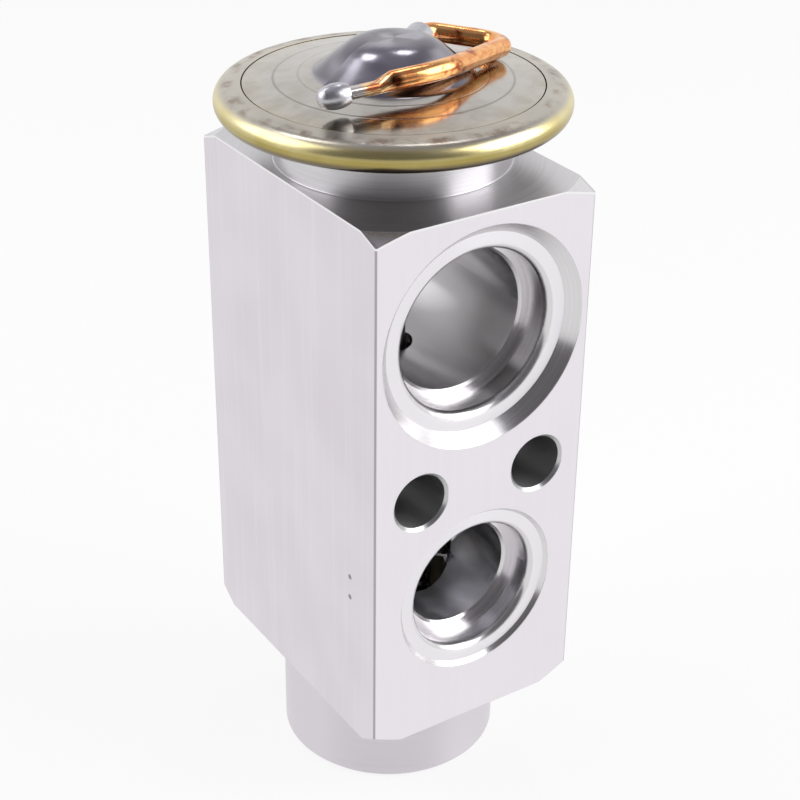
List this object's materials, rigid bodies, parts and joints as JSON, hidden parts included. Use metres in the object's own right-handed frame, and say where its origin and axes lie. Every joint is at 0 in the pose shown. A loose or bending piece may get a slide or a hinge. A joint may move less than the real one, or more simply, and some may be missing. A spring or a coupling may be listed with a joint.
{
  "type": "thermostatic expansion valve",
  "caption": "Block-type expansion valve: aluminium block with turned tube ports and bolt holes, diaphragm head with copper charge tube, spring-loaded ball and adjusting screw.",
  "frame": {"origin": "centre of the adjusting boss's underside, on the valve axis", "axes": "+Z along the valve axis from the boss to the diaphragm head; the ports face -Y and +Y"},
  "size_m": [0.0392, 0.0392, 0.0913],
  "materials": {
    "block": "satin, drawn, with turned bores",
    "steel": "satin",
    "polished_steel": "polished",
    "brass_part": "turned",
    "spring_steel": "satin",
    "seal_rubber": "matte",
    "plated_head": "bright, pale yellow plating",
    "cover_steel": "bright pressed sheet",
    "copper_tube": "bright drawn copper",
    "solder": "bright solder"
  },
  "bodies": {
    "block": {"valve_body": "block", "valve_seat": "steel", "superheat_spring": "spring_steel", "stem_seal": "seal_rubber", "stem_seal_retainer": "spring_steel", "element_housing": "plated_head", "element_gasket": "seal_rubber", "diaphragm": "spring_steel", "element_cover": "cover_steel", "charge_tube": "copper_tube", "tube_end_solder": "solder", "tube_braze": "solder"},
    "valve_train": {"valve_ball": "polished_steel", "ball_carrier": "steel", "damper_clip": "spring_steel", "push_rod": "steel", "sensing_stem": "steel", "diaphragm_pad": "steel"},
    "screw_carriage": {"adjusting_screw_seal": "seal_rubber"},
    "screw": {"adjusting_screw": "brass_part"}
  },
  "joints": [
    {"name": "valve_lift", "type": "slide", "parent": "block", "child": "valve_train", "axis": [0, 0, -1], "range_m": [0, 0.0008], "stiffness_N_per_m": 4000, "springref_m": -0.003, "deforming": ["superheat_spring", "diaphragm"]},
    {"name": "screw_travel", "type": "slide", "parent": "block", "child": "screw_carriage", "axis": [0, 0, 1], "range_m": [-0.001, 0.001], "deforming": ["superheat_spring"]},
    {"name": "screw_turn", "type": "hinge", "parent": "screw_carriage", "child": "screw", "pos_m": [0, 0, 0], "axis": [0, 0, 1], "range_deg": [-361, 361]}
  ],
  "couplings": [
    {"joint": "screw_turn", "follows": "screw_travel", "rad_per_m": 6283.2}
  ]
}
